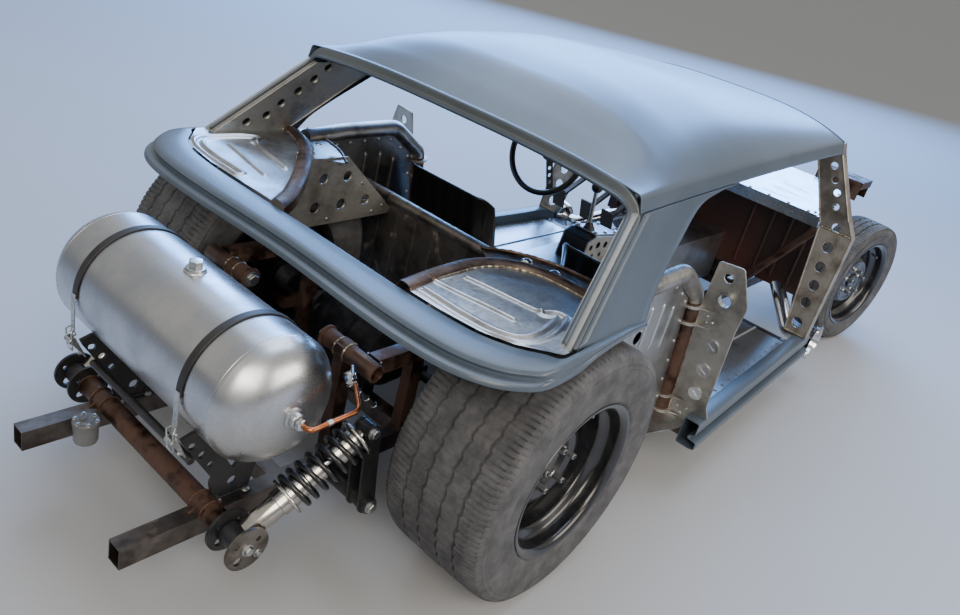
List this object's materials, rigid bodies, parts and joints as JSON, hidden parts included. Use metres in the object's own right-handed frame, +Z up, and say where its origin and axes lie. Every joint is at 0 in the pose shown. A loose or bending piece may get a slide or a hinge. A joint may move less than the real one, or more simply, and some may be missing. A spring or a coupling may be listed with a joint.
{
  "type": "street rod",
  "caption": "Stripped street rod under construction, with chopped hard top, exposed ladder frame, rear fuel tank, coilovers and wide tyres; wheels roll and steer.",
  "frame": {"origin": "on the ground under the middle of the car's bounding box", "axes": "+X forward, +Y to the car's left, +Z up"},
  "size_m": [3.705, 1.454, 1.1294],
  "materials": {
    "frame_steel": "dull black paint with rust coming through",
    "rusty_steel": "brown surface rust",
    "primer": "satin blue grey primer",
    "bare_steel": "brushed and oiled sheet",
    "polished_steel": "polished sheet",
    "red_oxide": "matte red oxide",
    "black_paint": "satin black",
    "wheel_black": "semi-gloss black with brake dust",
    "tyre_rubber": "matte, a little dusty",
    "tank_metal": "dull spun sheet with weld seams",
    "strap_rubber": "matte",
    "damper_metal": "satin anodised",
    "copper_pipe": "dull copper",
    "canister_grey": "grey enamel",
    "iron_block": "dark cast iron"
  },
  "bodies": {
    "chassis": {"frame_rail_left": "frame_steel", "frame_rail_right": "frame_steel", "frame_crossmembers": "frame_steel", "rear_crossbar": "rusty_steel", "shock_mounts": "frame_steel", "coilover_left": "damper_metal", "coilover_right": "damper_metal", "fuel_tank": "tank_metal", "tank_straps": "strap_rubber", "tank_cradle": "black_paint", "fuel_pipe": "copper_pipe", "filter_canister": "canister_grey", "rear_driveline": "iron_block", "rear_arms": "rusty_steel", "engine_block": "iron_block", "front_suspension": "rusty_steel", "front_coilovers": "damper_metal", "rack_housing": "iron_block", "steering_column": "black_paint", "roof_shell": "primer", "c_pillar_channels": "polished_steel", "deck_band": "primer", "wheel_tub_left": "bare_steel", "wheel_tub_right": "bare_steel", "quarter_panel_left": "bare_steel", "quarter_panel_right": "bare_steel", "quarter_tubes": "polished_steel", "b_post_left": "rusty_steel", "b_post_right": "rusty_steel", "rocker_left": "primer", "rocker_right": "primer", "a_pillar_left": "bare_steel", "a_pillar_right": "bare_steel", "floor_pan": "bare_steel", "rear_bulkhead": "bare_steel", "seat_left": "black_paint", "seat_right": "black_paint", "firewall": "red_oxide", "cowl_deck": "polished_steel", "front_braces": "rusty_steel", "exhaust_pipes": "polished_steel", "pedals": "black_paint", "gear_shift": "black_paint"},
    "left_knuckle": {"knuckle_left": "iron_block"},
    "right_knuckle": {"knuckle_right": "iron_block"},
    "front_left_wheel": {"front_wheel_left": "wheel_black", "front_tyre_left": "tyre_rubber"},
    "front_right_wheel": {"front_wheel_right": "wheel_black", "front_tyre_right": "tyre_rubber"},
    "rear_left_wheel": {"rear_wheel_left": "wheel_black", "rear_tyre_left": "tyre_rubber"},
    "rear_right_wheel": {"rear_wheel_right": "wheel_black", "rear_tyre_right": "tyre_rubber"},
    "rack": {"steering_rack": "bare_steel"},
    "hand_wheel": {"steering_wheel": "black_paint"}
  },
  "joints": [
    {"name": "rear_left_spin", "type": "hinge", "parent": "chassis", "child": "rear_left_wheel", "pos_m": [-1.0275, 0.561, 0.336], "axis": [0, 1, 0], "continuous": true},
    {"name": "rear_right_spin", "type": "hinge", "parent": "chassis", "child": "rear_right_wheel", "pos_m": [-1.0275, -0.561, 0.336], "axis": [0, 1, 0], "continuous": true},
    {"name": "left_steer", "type": "hinge", "parent": "chassis", "child": "left_knuckle", "pos_m": [1.5215, 0.457, 0.29], "axis": [0, 0, 1], "range_deg": [-17.6, 38.4]},
    {"name": "right_steer", "type": "hinge", "parent": "chassis", "child": "right_knuckle", "pos_m": [1.5215, -0.457, 0.29], "axis": [0, 0, 1], "range_deg": [-17.6, 38.4]},
    {"name": "front_left_spin", "type": "hinge", "parent": "left_knuckle", "child": "front_left_wheel", "pos_m": [1.53522, 0.53175, 0.29], "axis": [0.1805, 0.9836, 0], "continuous": true},
    {"name": "front_right_spin", "type": "hinge", "parent": "right_knuckle", "child": "front_right_wheel", "pos_m": [1.50778, -0.53175, 0.29], "axis": [0.1805, 0.9836, 0], "continuous": true},
    {"name": "rack_slide", "type": "slide", "parent": "chassis", "child": "rack", "axis": [0, 1, 0], "range_m": [-0.0783, 0.0364]},
    {"name": "hand_wheel_turn", "type": "hinge", "parent": "chassis", "child": "hand_wheel", "pos_m": [-0.0275, 0.262, 0.71], "axis": [-0.9431, 0, 0.3326], "range_deg": [-282, 614.8]}
  ],
  "couplings": [
    {"joint": "right_steer", "follows": "left_steer", "ratio": 1},
    {"joint": "rack_slide", "follows": "left_steer", "m_per_rad": -0.115},
    {"joint": "hand_wheel_turn", "follows": "left_steer", "ratio": 16}
  ]
}
